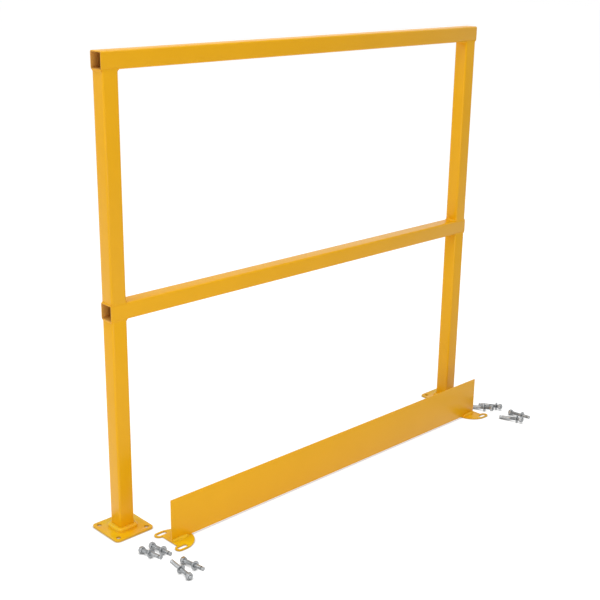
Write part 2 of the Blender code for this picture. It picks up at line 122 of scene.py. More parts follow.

# The paper's fibre and tones, and how fast the painted shadow darkens the floor where a piece meets it
PAPER_FIBRE = 2 * MM
PAPER_TONES = (0.98, 1.0)
PAINTED_SHADOW_POWER = 1.5

# Soft square lamps: name, place, side and power in watts
LAMPS = (
    ("top_lamp", (0.2, -0.6, 5.5), 4.0, 169.0),
    ("left_lamp", (-2.8, 0.0, 0.9), 1.6, 11.2),
    ("near_lamp", (-0.7, -2.2, 0.5), 1.0, 13.7),
    ("rear_lamp", (-2.2, 1.6, 2.4), 2.0, 24.1),
)
CAD_BOX = [list(corner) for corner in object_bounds()]


def linear(hex_colour):
    """Turns an sRGB hex colour into the linear colour that the nodes read."""
    values = []
    for start in (1, 3, 5):
        value = int(hex_colour[start:start + 2], 16) / 255
        values.append(value / 12.92 if value <= 0.04045 else ((value + 0.055) / 1.055) ** 2.4)
    return (*values, 1.0)


def length_property(name, description, default):
    return FloatProperty(name=name, description=description, default=default, min=0.0, unit="LENGTH",
                         precision=5)


def share_property(name, description, default, low=0.0):
    return FloatProperty(name=name, description=description, default=default, min=low, max=1.0,
                         subtype="FACTOR")


def angle_property(name, description, degrees):
    return FloatProperty(name=name, description=description, default=math.radians(degrees), subtype="ANGLE")


def colour_property(name, description, hex_colour):
    return FloatVectorProperty(name=name, description=description, default=linear(hex_colour), size=4,
                               subtype="COLOR", min=0.0, max=1.0)


class FrameSettings(bpy.types.PropertyGroup):
    """Sizes of the welded frame and of the toe board."""

    tube_corner: length_property("Tube corner", "Outside corner radius of the square tube", 4.5 * MM)
    tube_wall: length_property("Tube wall", "Wall of the square tube", 3.05 * MM)
    plate_corner: length_property("Plate corner", "Corner radius of a base plate", 9.5 * MM)
    hole_pitch: length_property("Hole pitch", "Distance between a base plate's anchor holes", 76.2 * MM)
    hole_diameter: length_property("Hole diameter", "Diameter of an anchor hole, width of a slot", 11.1 * MM)
    slot_length: length_property("Slot length", "Length over the round ends of a toe foot's slot", 26.0 * MM)
    foot_rim: length_property("Foot rim", "Material round the end of a toe foot's slot", 4.45 * MM)
    foot_lobe: length_property("Foot lobe", "How far a lobe's centre lies behind the slots' middle", 8.0 * MM)
    foot_notch: length_property("Foot notch", "How far the notch lies behind the slots' middle", 5.5 * MM)
    edge_round: length_property("Edge round", "Rounding that the coat gives a sheared edge", 0.45 * MM)


class CoatSettings(bpy.types.PropertyGroup):
    """The yellow powder coat."""

    colour: colour_property("Coat", "Colour of the coat", "#F0B00A")
    # Painted light: the coat made brighter and yellower for flat pieces and welds, as lit from above
    lit_flat_colour: colour_property("Flat coat", "Coat where spray settles: flat pieces and welds", "#EAC118")
    thick_colour: colour_property("Thick coat", "Coat where it built up thicker", "#EEAE09")
    # Painted shade: the coat on the upright edges of flat pieces, darker as they get less light from above
    shaded_edge_colour: colour_property("Edge", "Coat where it pulls back from sheared edges", "#D8A628")
    # Inside a tube the coat thins to bare steel, and both colours also carry painted shade deeper in
    thin_coat_shaded_colour: colour_property("Thin coat", "Dusting of coat on the steel just inside a tube", "#D0953E")
    bare_steel_shaded_colour: colour_property("Bare steel", "Mill scale inside a tube, past the coat's reach", "#533A1F")
    film_pitch: length_property("Film pitch", "Size of the patches where the film varies", 90 * MM)
    peel_pitch: length_property("Peel pitch", "Distance between the bumps of the orange peel", 2.4 * MM)
    peel_height: length_property("Peel height", "Height of the orange peel", 0.01 * MM)
    bore_end: length_property("Bore end", "Depth in a tube where the last of the coat ends", 60 * MM)


class WeldSettings(bpy.types.PropertyGroup):
    """The weld beads."""

    ripple_pitch: length_property("Ripple pitch", "Distance between the ripples of a bead", 4.5 * MM)
    dressed_share: share_property("Dressed share",
                                  "What is left of a joint weld's leg once dressed", 0.56, low=0.1)
    stop_short: length_property("Stop short", "Gap from a tube's front or back to a fillet's end", 2.5 * MM)
    lap: length_property("Lap", "How far the flush part of a joint weld runs over the post", 1.0 * MM)
    grain: length_property("Grain", "Size of the cells that a bead is fused in", 0.45 * MM)
    seat: length_property("Seat", "How far a bead grows into the pieces that it joins", 0.35 * MM)
    dressed: length_property("Dressed", "How far a bead that was dressed flush stands out", 0.03 * MM)
    seed: IntProperty(name="Seed", description="Order of the ripples' small differences", default=7)


class AnchorSettings(bpy.types.PropertyGroup):
    """The zinc-plated wedge anchors."""

    zinc: colour_property("Zinc", "Colour of the plating", "#B3B5B6")
    dull_zinc: colour_property("Dull zinc", "Colour of the plating's dull patches", "#8D8F91")
    thread_pitch: length_property("Thread pitch", "Distance from one thread to the next", 25.4 / 16 * MM)
    thread_depth: length_property("Thread depth", "Depth of the thread", 1.0 * MM)
    thread_length: length_property("Thread length", "Length of the threaded end", 38 * MM)
    stud_diameter: length_property("Stud diameter", "Diameter of the stud", 9.5 * MM)
    stud_length: length_property("Stud length", "Length of the stud", 69.9 * MM)
    end_chamfer: length_property("End chamfer", "Chamfer of the threaded end", 0.9 * MM)
    neck_diameter: length_property("Neck diameter", "Diameter of the neck under the clip", 7.2 * MM)
    neck_length: length_property("Neck length", "Length of the neck", 11 * MM)
    cone_length: length_property("Cone length", "Length of the cone that spreads the clip", 4 * MM)
    tip_length: length_property("Tip length", "Length of the straight tip", 2.9 * MM)
    clip_wall: length_property("Clip wall", "Thickness of the clip", 0.8 * MM)
    nut_flats: length_property("Nut flats", "Width of the nut across its flats", 14.3 * MM)
    nut_height: length_property("Nut height", "Height of the nut", 8.3 * MM)
    washer_diameter: length_property("Washer diameter", "Outside diameter of the washer", 20.6 * MM)
    washer_thickness: length_property("Washer thickness", "Thickness of the washer", 1.65 * MM)


class StageSettings(bpy.types.PropertyGroup):
    """Floor, light and camera."""

    floor: colour_property("Floor", "Colour of the floor as the object sees it", "#F5F5F5")
    floor_size: length_property("Floor size", "Side of the floor", 40.0)
    # Only a painted shadow dims the glow, in holes and by a piece's foot; real shadows dim the shade share
    floor_glow: share_property("Floor glow", "Share of the floor's white that no shadow dims", 0.89)
    floor_shade: share_property("Floor shade", "Share of the floor's light that a shadow dims", 0.34)
    # Reach of the painted shadow round a piece's foot
    painted_shadow_reach: length_property("Contact", "How far from a piece the floor darkens where they meet", 6 * MM)
    ambient: FloatProperty(name="Ambient", description="Strength of the light from all round", default=0.335)
    lamp_level: FloatProperty(name="Lamp level", description="Strength of all lamps together", default=1.0,
                              min=0.0)
    camera_place: FloatVectorProperty(name="Camera place", description="Where the camera stands",
                                      default=(-1.27135, -1.90078, 1.28188), subtype="TRANSLATION",
                                      unit="LENGTH")
    heading: angle_property("Heading", "Way that the camera looks, clockwise from +Y", 43.7455)
    tilt: angle_property("Tilt", "How far the camera looks up", -17.9757)
    roll: angle_property("Roll", "How far the camera leans", 0.8627)
    lens: FloatProperty(name="Lens", description="Focal length in millimetres", default=66.789,
                        subtype="DISTANCE_CAMERA")


def add_node(tree, kind, inputs=None, **settings):
    """Adds a node. inputs gives a socket its value, or the other node's output that feeds it.

    A Mix node's sockets go by number: 0 is its factor, 2 and 3 are its numbers, and 6 and 7 its colours. Its
    output is 0 for numbers and 2 for colours.
    """
    node = tree.nodes.new(kind)
    for name, value in settings.items():
        setattr(node, name, value)
    for socket, value in (inputs or {}).items():
        if isinstance(value, bpy.types.NodeSocket):
            tree.links.new(value, node.inputs[socket])
        else:
            node.inputs[socket].default_value = value
    return node


def new_material(name):
    """An empty node material with its output, and the object coordinates that its patterns read."""
    material = bpy.data.materials.new(name)
    material.use_nodes = True
    tree = material.node_tree
    tree.nodes.clear()
    output = add_node(tree, "ShaderNodeOutputMaterial")
    place = add_node(tree, "ShaderNodeTexCoord").outputs["Object"]
    return material, tree, output, place


def coated_steel(name, weld=False, bore=None, sheared=False):
    """Polyester powder coat, sprayed and baked on steel: an even satin skin over a fine orange peel.

    The film's build varies in wide soft patches, which shifts the yellow a little. On a weld the coat flows
    together and is glossier. bore is a tube's box, for a coat that thins out inside the tube's open ends and
    darkens deeper in, partly bare steel and partly painted shade. sheared is for flat pieces, whose upright
    edges take painted shade. Flat pieces and welds take a brighter, yellower coat, painted as lit from above.
    """
    coat = bpy.context.scene.guard_rail_coat
    material, tree, output, place = new_material(name)
    film = add_node(tree, "ShaderNodeTexNoise",
                    {"Vector": place, "Scale": 1 / coat.film_pitch, "Detail": 3.0, "Roughness": 0.55})
    patch = add_node(tree, "ShaderNodeMapRange",
                     {"Value": film.outputs["Fac"], "From Min": 0.35, "From Max": 0.65})
    # Flat pieces and welds take the coat painted brighter and yellower, as lit from above
    skin = coat.lit_flat_colour if sheared or weld else coat.colour
    colour = add_node(tree, "ShaderNodeMix", {0: patch.outputs["Result"], 6: skin, 7: coat.thick_colour},
                      data_type="RGBA").outputs[2]
    peel = add_node(tree, "ShaderNodeTexNoise",
                    {"Vector": place, "Scale": 1 / coat.peel_pitch, "Detail": 1.5, "Roughness": 0.45})
    bump = add_node(tree, "ShaderNodeBump",
                    {"Height": peel.outputs["Fac"], "Strength": 1.0, "Distance": coat.peel_height})
    glossy, dull = WELD_ROUGHNESS if weld else COAT_ROUGHNESS
    rough = add_node(tree, "ShaderNodeMapRange",
                     {"Value": film.outputs["Fac"], "To Min": glossy, "To Max": dull}).outputs["Result"]
    # Painted shade: the upright edges of a flat piece are darkened, as sides that get less light from above
    if sheared:
        colour = add_node(tree, "ShaderNodeMix", {0: upright_shade_mask(tree), 6: colour, 7: coat.shaded_edge_colour},
                          data_type="RGBA").outputs[2]
    # Inside a tube the colour darkens with depth: partly the coat thinning to bare steel, partly painted
    # shade
    if bore is not None:
        inside, depth = coat_reach_and_shade(tree, place, bore, film)
        dusted_and_shaded = add_node(tree, "ShaderNodeMix", {0: depth, 6: coat.thin_coat_shaded_colour, 7: coat.bare_steel_shaded_colour},
                          data_type="RGBA")
        colour = add_node(tree, "ShaderNodeMix", {0: inside, 6: colour, 7: dusted_and_shaded.outputs[2]},
                          data_type="RGBA").outputs[2]
        rough = add_node(tree, "ShaderNodeMix", {0: inside, 2: rough, 3: BORE_ROUGHNESS}).outputs[0]
    shader = add_node(tree, "ShaderNodeBsdfPrincipled",
                      {"Base Color": colour, "Roughness": rough, "Normal": bump.outputs["Normal"],
                       "Specular IOR Level": COAT_SPECULAR})
    tree.links.new(shader.outputs["BSDF"], output.inputs["Surface"])
    return material


def upright_shade_mask(tree):
    """An output that is 1 on a flat piece's upright edges, and 0 on its faces: where shade is painted."""
    normal = add_node(tree, "ShaderNodeNewGeometry").outputs["Normal"]
    axes = add_node(tree, "ShaderNodeSeparateXYZ", {"Vector": normal})
    flat = add_node(tree, "ShaderNodeMath", {0: axes.outputs["Z"]}, operation="ABSOLUTE")
    edge = add_node(tree, "ShaderNodeMapRange",
                    {"Value": flat.outputs[0], "From Min": 0.2, "From Max": 0.8, "To Min": 1.0,
                     "To Max": 0.0})
    return edge.outputs["Result"]


def coat_reach_and_shade(tree, place, bore, film):
    """Two outputs: 1 on a tube's inner faces, and how deep inside the tube a place is, from 0 to 1."""
    settings = bpy.context.scene
    coat, wall = settings.guard_rail_coat, settings.guard_rail_frame.tube_wall
    low, high = bore
    middle = (low + high) / 2
    half = (high - low) / 2
    centred = add_node(tree, "ShaderNodeVectorMath", {0: place, 1: middle}, operation="SUBTRACT")
    away = add_node(tree, "ShaderNodeVectorMath", {0: centred.outputs["Vector"]}, operation="ABSOLUTE")
    axes = add_node(tree, "ShaderNodeSeparateXYZ", {"Vector": away.outputs["Vector"]})
    in_y = add_node(tree, "ShaderNodeMath", {0: axes.outputs["Y"], 1: half.y - wall / 2},
                    operation="LESS_THAN")
    in_z = add_node(tree, "ShaderNodeMath", {0: axes.outputs["Z"], 1: half.z - wall / 2},
                    operation="LESS_THAN")
    inside = add_node(tree, "ShaderNodeMath", {0: in_y.outputs[0], 1: in_z.outputs[0]}, operation="MULTIPLY")
    uneven = add_node(tree, "ShaderNodeMath",
                      {0: film.outputs["Fac"], 1: DUST_UNEVENNESS, 2: axes.outputs["X"]},
                      operation="MULTIPLY_ADD")
    depth = add_node(tree, "ShaderNodeMapRange",
                     {"Value": uneven.outputs[0], "From Min": half.x - coat.bore_end,
                      "From Max": half.x, "To Min": 1.0, "To Max": 0.0})
    return inside.outputs[0], depth.outputs["Result"]


def zinc_plate(name):
    """Bright zinc, electroplated on steel and passivated: a grey metal with duller patches and fine grain."""
    anchor = bpy.context.scene.guard_rail_anchor
    material, tree, output, place = new_material(name)
    patches = add_node(tree, "ShaderNodeTexNoise",
                       {"Vector": place, "Scale": 1 / ZINC_PATCH, "Detail": 3.0, "Roughness": 0.6})
    colour = add_node(tree, "ShaderNodeMix",
                      {0: patches.outputs["Fac"], 6: anchor.zinc, 7: anchor.dull_zinc}, data_type="RGBA")
    glossy, dull = ZINC_ROUGHNESS
    rough = add_node(tree, "ShaderNodeMapRange",
                     {"Value": patches.outputs["Fac"], "From Min": 0.3, "From Max": 0.7, "To Min": glossy,
                      "To Max": dull})
    grain = add_node(tree, "ShaderNodeTexNoise", {"Vector": place, "Scale": 1 / ZINC_GRAIN, "Detail": 1.0})
    bump = add_node(tree, "ShaderNodeBump",
                    {"Height": grain.outputs["Fac"], "Strength": 1.0, "Distance": ZINC_RELIEF})
    shader = add_node(tree, "ShaderNodeBsdfPrincipled",
                      {"Base Color": colour.outputs[2], "Metallic": 1.0, "Roughness": rough.outputs["Result"],
                       "Normal": bump.outputs["Normal"]})
    tree.links.new(shader.outputs["BSDF"], output.inputs["Surface"])
    return material


def background_rays(tree):
    """An output that is 1 for rays that show the white background: the camera's, reflected and refracted."""
    ray = add_node(tree, "ShaderNodeLightPath")
    seen = add_node(tree, "ShaderNodeMath",
                    {0: ray.outputs["Is Camera Ray"], 1: ray.outputs["Is Glossy Ray"]}, operation="MAXIMUM")
    through = add_node(tree, "ShaderNodeMath",
                       {0: seen.outputs[0], 1: ray.outputs["Is Transmission Ray"]}, operation="MAXIMUM")
    return through.outputs[0]


def studio_paper(name):
    """Matt white paper in even light: the background's rays see its white, dimmed a little by shadows."""
    stage = bpy.context.scene.guard_rail_stage
    material, tree, output, place = new_material(name)
    fibre = add_node(tree, "ShaderNodeTexNoise", {"Vector": place, "Scale": 1 / PAPER_FIBRE, "Detail": 2.0})
    dark, light = PAPER_TONES
    tone = add_node(tree, "ShaderNodeMapRange",
                    {"Value": fibre.outputs["Fac"], "To Min": dark, "To Max": light})
    shade = add_node(tree, "ShaderNodeMix", {0: tone.outputs["Result"], 6: BLACK, 7: stage.floor},
                     data_type="RGBA")
    paper = add_node(tree, "ShaderNodeBsdfDiffuse", {"Color": shade.outputs[2]})
    seen = add_node(tree, "ShaderNodeBsdfDiffuse", {"Color": (*[stage.floor_shade] * 3, 1.0)})
    # Painted shadow: the glow darkens where the floor is hemmed in, in holes and where a piece meets it
    open_sky = add_node(tree, "ShaderNodeAmbientOcclusion", {"Distance": stage.painted_shadow_reach})
    deep = add_node(tree, "ShaderNodeMath", {0: open_sky.outputs["AO"], 1: PAINTED_SHADOW_POWER}, operation="POWER")
    level = add_node(tree, "ShaderNodeMath", {0: deep.outputs[0], 1: stage.floor_glow}, operation="MULTIPLY")
    glow = add_node(tree, "ShaderNodeEmission", {"Strength": level.outputs[0]})
    lit = add_node(tree, "ShaderNodeAddShader", {0: seen.outputs[0], 1: glow.outputs[0]})
    mix = add_node(tree, "ShaderNodeMixShader",
                   {0: background_rays(tree), 1: paper.outputs[0], 2: lit.outputs[0]})
    tree.links.new(mix.outputs[0], output.inputs["Surface"])
    return material


def deselect_all():
    bpy.ops.object.select_all(action="DESELECT")


def edit_mode():
    bpy.ops.object.mode_set(mode="EDIT")


def object_mode():
    bpy.ops.object.mode_set(mode="OBJECT")


def select_mesh():
    bpy.ops.mesh.select_all(action="SELECT")


def slice_at(place, way):
    """Cuts new edges all round the mesh where a plane crosses it."""
    select_mesh()
    bpy.ops.mesh.bisect(plane_co=place, plane_no=way)


def make_active(obj):
    deselect_all()
    obj.select_set(True)
    bpy.context.view_layer.objects.active = obj


def new_primitive(name, add, **settings):
    """Adds one primitive at its size and place, and settles its place in its mesh."""
    deselect_all()
    add(**settings)
    obj = bpy.context.object
    obj.name = name
    obj.data.name = name
    bpy.ops.object.transform_apply(location=True, rotation=True, scale=True)
    return obj


def new_box(name, low, high):
    middle = (Vector(low) + Vector(high)) / 2
    return new_primitive(name, bpy.ops.mesh.primitive_cube_add, size=1.0, location=middle,
                         scale=Vector(high) - Vector(low))


def new_rod(name, radius, start, end, sides, fill="NGON"):
    """Round bar from one point to another."""
    start, end = Vector(start), Vector(end)
    turn = (end - start).to_track_quat("Z", "Y").to_euler()
    return new_primitive(name, bpy.ops.mesh.primitive_cylinder_add, radius=radius, vertices=sides,
                         depth=(end - start).length, location=(start + end) / 2, rotation=turn,
                         end_fill_type=fill)


def select_parts(obj, kind, test):
    """In edit mode, selects the faces, edges or vertices that pass a test, and nothing else."""
    bpy.ops.mesh.select_mode(type=kind)
    bpy.ops.mesh.select_all(action="DESELECT")
    mesh = bmesh.from_edit_mesh(obj.data)
    parts = {"FACE": mesh.faces, "EDGE": mesh.edges, "VERT": mesh.verts}[kind]
    parts.ensure_lookup_table()
    found = [part for part in parts if test(part)]
    if not found:
        raise RuntimeError("%s: nothing to select" % obj.name)
    for part in found:
        part.select_set(True)
    bmesh.update_edit_mesh(obj.data)


def edge_runs_along(axis):
    def test(edge):
        run = edge.verts[1].co - edge.verts[0].co
        return abs(run[axis]) > STRAIGHT * run.length
    return test


def face_looks_along(axis):
    def test(face):
        return abs(face.normal[axis]) > STRAIGHT
    return test


def apply_modifier(obj, kind, **settings):
    """Adds a modifier with its settings and applies it."""
    make_active(obj)
    modifier = obj.modifiers.new(kind.title(), kind)
    for name, value in settings.items():
        setattr(modifier, name, value)
    bpy.ops.object.modifier_apply(modifier=modifier.name)


def combine(obj, tool, operation):
    """Cuts, joins or trims a piece with a tool, which is then gone."""
    apply_modifier(obj, "BOOLEAN", operation=operation, solver="EXACT", object=tool)
    bpy.data.objects.remove(tool, do_unlink=True)


def round_edges(obj, width, segments=2, angle=40.0):
    """Rounds every edge that turns by more than an angle in degrees."""
    apply_modifier(obj, "BEVEL", width=width, segments=segments, limit_method="ANGLE",
                   angle_limit=math.radians(angle))


def outward(obj):
    """Merges doubles and turns all faces outwards."""
    make_active(obj)
    edit_mode()
    select_mesh()
    bpy.ops.mesh.remove_doubles(threshold=MERGE)
    bpy.ops.mesh.normals_make_consistent(inside=False)
    object_mode()


def finish_piece(obj, material, nodes, angle=32.0):
    """Shades a piece, gives it its finish and puts it in the place of its CAD nodes."""
    make_active(obj)
    bpy.ops.object.shade_smooth_by_angle(angle=math.radians(angle))
    obj.data.materials.clear()
    obj.data.materials.append(material)
    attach(obj, BODY)
    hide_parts(*nodes)
    return obj


def copy_mesh(name, mesh):
    """A new object with its own copy of a mesh."""
    obj = bpy.data.objects.new(name, mesh.copy())
    bpy.context.scene.collection.objects.link(obj)
    return obj


def copy_node(name, node):
    """A copy of a CAD node's mesh, with its loose triangles merged into one skin."""
    obj = copy_mesh(name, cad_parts[node].data)
    make_active(obj)
    if obj.data.has_custom_normals:
        bpy.ops.mesh.customdata_custom_splitnormals_clear()
    edit_mode()
    select_mesh()
    bpy.ops.mesh.remove_doubles(threshold=CAD_MERGE)
    object_mode()
    return obj


def square_tube(name, node, axis):
    """Square tube in a CAD tube's place: a bar with round corners, opened right through."""
    sizes = bpy.context.scene.guard_rail_frame
    obj = new_box(name, *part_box(node))
    edit_mode()
    select_parts(obj, "EDGE", edge_runs_along(axis))
    bpy.ops.mesh.bevel(offset=sizes.tube_corner, segments=8)
    select_parts(obj, "FACE", face_looks_along(axis))
    bpy.ops.mesh.inset(thickness=sizes.tube_wall)
    bpy.ops.mesh.delete(type="FACE")
    select_parts(obj, "EDGE", lambda edge: edge.is_boundary)
    bpy.ops.mesh.bridge_edge_loops()
    object_mode()
    outward(obj)
    round_edges(obj, sizes.edge_round, angle=60.0)
    return obj


class GUARDRAIL_OT_rails(bpy.types.Operator):
    """Top and middle rail, open at both ends: inside, the coat runs out and shade is painted deeper in"""

    bl_idname = "guardrail.rails"
    bl_label = "Rails"

    def execute(self, context):
        for node in ("top_rail", "mid_rail"):
            coat = coated_steel(node + "_powder_coat", bore=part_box(node))
            finish_piece(square_tube(node + "_coated", node, X_AXIS), coat, [node])
        return {"FINISHED"}


class GUARDRAIL_OT_posts(bpy.types.Operator):
    """Lower and upper lengths of both posts"""

    bl_idname = "guardrail.posts"
    bl_label = "Posts"

    def execute(self, context):
        coat = coated_steel("post_powder_coat")
        for side in SIDES:
            for length in ("lower", "upper"):
                node = "%s_post_%s" % (side, length)
                tube = square_tube(node + "_coated", node, Z_AXIS)
                finish_piece(tube, coat, [node])
        return {"FINISHED"}


class GUARDRAIL_OT_base_plates(bpy.types.Operator):
    """Square base plates with round corners and four anchor holes"""

    bl_idname = "guardrail.base_plates"
    bl_label = "Base plates"

    def execute(self, context):
        sizes = context.scene.guard_rail_frame
        coat = coated_steel("plate_powder_coat", sheared=True)
        for side in SIDES:
            node = side + "_base_plate"
            low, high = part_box(node)
            middle = (low + high) / 2
            plate = new_box(node + "_coated", low, high)
            edit_mode()
            select_parts(plate, "EDGE", edge_runs_along(Z_AXIS))
            bpy.ops.mesh.bevel(offset=sizes.plate_corner, segments=10)
            object_mode()
            for column in (-1, 1):
                for row in (-1, 1):
                    place = middle + Vector((column, row, 0)) * sizes.hole_pitch / 2
                    reach = Vector((0, 0, high.z - low.z))
                    drill = new_rod("drill", sizes.hole_diameter / 2, place - reach, place + reach, sides=40)
                    combine(plate, drill, "DIFFERENCE")
            round_edges(plate, sizes.edge_round, segments=3)
            finish_piece(plate, coat, [node])
        return {"FINISHED"}


class GUARDRAIL_OT_toe_board(bpy.types.Operator):
    """Toe board: a flat plate on edge"""

    bl_idname = "guardrail.toe_board"
    bl_label = "Toe board"

    def execute(self, context):
        sizes = context.scene.guard_rail_frame
        board = new_box("toe_board_coated", *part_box("toe_board"))
        round_edges(board, sizes.edge_round, segments=3)
        finish_piece(board, coated_steel("board_powder_coat"), ["toe_board"])
        return {"FINISHED"}


class GUARDRAIL_OT_toe_feet(bpy.types.Operator):
    """Crescent feet of the toe board, each with two lobes, a notch and two slots"""

    bl_idname = "guardrail.toe_feet"
    bl_label = "Toe board feet"

    def execute(self, context):
        coat = coated_steel("foot_powder_coat", sheared=True)
        for side, inward in SIDES.items():
            node = side + "_toe_foot"
            foot = crescent_foot(node + "_coated", node, inward)
            round_edges(foot, context.scene.guard_rail_frame.edge_round, segments=3)
            finish_piece(foot, coat, [node])
        return {"FINISHED"}


def crescent_foot(name, node, inward):
    """Round nose and square back, with a lobe pulled out at each end of the back and a slot in each lobe."""
    sizes = bpy.context.scene.guard_rail_frame
    low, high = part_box(node)
    lobe_radius = sizes.hole_diameter / 2 + sizes.foot_rim
    nose_x, back_x = (high.x, low.x) if inward > 0 else (low.x, high.x)
    slot_x = back_x + inward * (lobe_radius + sizes.foot_lobe)
    notch_x = slot_x - inward * sizes.foot_notch
    middle_y = (low.y + high.y) / 2
    notch_half = sizes.hole_pitch / 2 - lobe_radius
    foot = new_box(name, (min(notch_x, nose_x), low.y, low.z), (max(notch_x, nose_x), high.y, high.z))
    half_width = (high.y - low.y) / 2
    edit_mode()
    select_parts(foot, "EDGE", upright_at(nose_x, middle_y, (half_width,)))
    bpy.ops.mesh.bevel(offset=half_width - GRIP, segments=32)
    for way in (-1, 1):
        slice_at((0, middle_y + way * notch_half, 0), (0, 1, 0))
    select_parts(foot, "FACE", lambda face: abs(face.calc_center_median().x - notch_x) < GRIP
                 and abs(face.calc_center_median().y - middle_y) > notch_half)
    bpy.ops.mesh.extrude_region_move(TRANSFORM_OT_translate={"value": (back_x - notch_x, 0, 0)})
    fillet = sizes.foot_lobe - sizes.foot_notch
    corners = (
        (back_x, (half_width, notch_half), lobe_radius - GRIP, 16),
        (notch_x, (notch_half,), fillet, 6),
    )
    for corner_x, halves, radius, segments in corners:
        select_parts(foot, "EDGE", upright_at(corner_x, middle_y, halves))
        bpy.ops.mesh.bevel(offset=radius, segments=segments)
    object_mode()
    outward(foot)
    slot_half = Vector((sizes.slot_length / 2, sizes.hole_diameter / 2, high.z))
    for row in (-1, 1):
        slot_middle = Vector((slot_x, middle_y + row * sizes.hole_pitch / 2, high.z / 2))
        slot = new_box("slot", slot_middle - slot_half, slot_middle + slot_half)
        edit_mode()
        select_parts(slot, "EDGE", edge_runs_along(Z_AXIS))
        bpy.ops.mesh.bevel(offset=slot_half.y - 0.2 * GRIP, segments=16)
        object_mode()
        combine(foot, slot, "DIFFERENCE")
    return foot


def upright_at(x, middle_y, halves):
    """Upright edges at an X, at given distances to either side of the middle."""
    def test(edge):
        place = edge.verts[0].co
        if not edge_runs_along(Z_AXIS)(edge) or abs(place.x - x) > GRIP:
            return False
        return min(abs(abs(place.y - middle_y) - half) for half in halves) < GRIP
    return test


def ripple_places(route, pitch, dice):
    """Even steps along a weld's route, each as (point, way along, way out), a little unevenly spaced."""
    places = []
    for (start, out_start), (end, out_end) in zip(route, route[1:]):
        run = end - start
        count = max(1, round(run.length / pitch))
        for step in range(count):
            share = (step + 0.5 + dice.uniform(-DAB_SHIFT, DAB_SHIFT)) / count
            out = out_start.lerp(out_end, share).normalized()
            places.append((start.lerp(end, share), run.normalized(), out))
    return places


def grow_bead(bead, route, leg, kind):
    """Lays dabs along a route on a CAD weld's copy, and fuses all into one skin, grown to its seats."""
    weld = bpy.context.scene.guard_rail_weld
    dice = random.Random("%d %s" % (weld.seed, bead.name))
    high_share = DABS[kind][1]
    ripple = new_primitive("ripple", bpy.ops.mesh.primitive_uv_sphere_add, segments=16, ring_count=8,
                           radius=1.0)
    copies = []
    for point, along, out in ripple_places(route, weld.ripple_pitch, dice):
        across = along.cross(out)
        turn = Matrix((across, along, out)).transposed().to_4x4()
        half_width = leg * dice.uniform(*DAB_HALF_WIDTH)
        rise = leg * high_share * dice.uniform(*DAB_RISE)
        scale = Matrix.Diagonal((half_width, weld.ripple_pitch * DAB_HALF_LENGTH, rise, 1.0))
        copied = copy_mesh("ripple_copy", ripple.data)
        copied.data.transform(Matrix.Translation(point) @ turn @ scale)
        copies.append(copied)
    bpy.data.objects.remove(ripple, do_unlink=True)
    make_active(bead)
    for copied in copies:
        copied.select_set(True)
    bpy.ops.object.join()
    apply_modifier(bead, "REMESH", mode="VOXEL", voxel_size=weld.grain)
    apply_modifier(bead, "DISPLACE", strength=weld.seat, mid_level=0.0, direction="NORMAL")
    apply_modifier(bead, "SMOOTH", factor=0.5, iterations=2)


def draw_in(bead, corner, inward, away, share):
    """Draws the fillet in a corner of the bay in towards that corner."""
    edit_mode()
    select_parts(bead, "VERT", lambda vert: inward * (vert.co.x - corner.x) > GRIP)
    bpy.ops.transform.resize(value=(share, 1.0, 1.0), center_override=corner)
    select_parts(bead, "VERT", lambda vert: away * (vert.co.z - corner.z) > GRIP)
    bpy.ops.transform.resize(value=(1.0, 1.0, share), center_override=corner)
    object_mode()


def end_fillets(bead, reach, post, face, away):
    """Ends a joint's fillets where the post's corners round off, and keeps the fill beside the rail."""
    short = bpy.context.scene.guard_rail_weld.stop_short
    inset = bpy.context.scene.guard_rail_frame.tube_corner
    weld_low, weld_high = reach
    low, high = post
    above = face + away * 4 * inset
    spans = (
        (weld_low.x - short, weld_high.x + short, face + away * 2 * GRIP),
        (weld_low.x - short, low.x, face - away * 2 * inset),
        (high.x, weld_high.x + short, face - away * 2 * inset),
    )
    for y in (low.y, high.y):
        for start, end, below in spans:
            bottom, top = sorted((below, above))
            stop = new_box("stop", (start, y - short, bottom), (end, y + short, top))
            combine(bead, stop, "DIFFERENCE")


def lap_post(bead, post, face, away):
    """Runs the fill at front and back a little way over the post's end."""
    lap = bpy.context.scene.guard_rail_weld.lap
    inset = bpy.context.scene.guard_rail_frame.tube_corner
    low, high = post
    bottom, top = sorted((face - away * lap, face + away * lap))
    for y in (low.y, high.y):
        film = new_box("film", (low.x + inset, y - lap / 2, bottom), (high.x - inset, y + lap / 2, top))
        make_active(bead)
        film.select_set(True)
        bpy.ops.object.join()


def dress_flush(bead, low, high):
    """Trims a bead to a box, as a grinding disc leaves it."""
    combine(bead, new_box("trim", low, high), "INTERSECT")


def post_box(side):
    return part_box(side + "_post_lower")


class GUARDRAIL_OT_foot_welds(bpy.types.Operator):
    """Fillet welds all round the posts' feet"""

    bl_idname = "guardrail.foot_welds"
    bl_label = "Foot welds"

    def execute(self, context):
        coat = coated_steel("foot_weld_powder_coat", weld=True)
        for side in SIDES:
            node = side + "_foot_weld"
            low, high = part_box(node)
            leg = high.z - low.z
            bead = copy_node(node + "_bead", node)
            grow_bead(bead, foot_route(side, leg), leg, "foot")
            outward(bead)
            finish_piece(bead, coat, [node], angle=60.0)
        return {"FINISHED"}


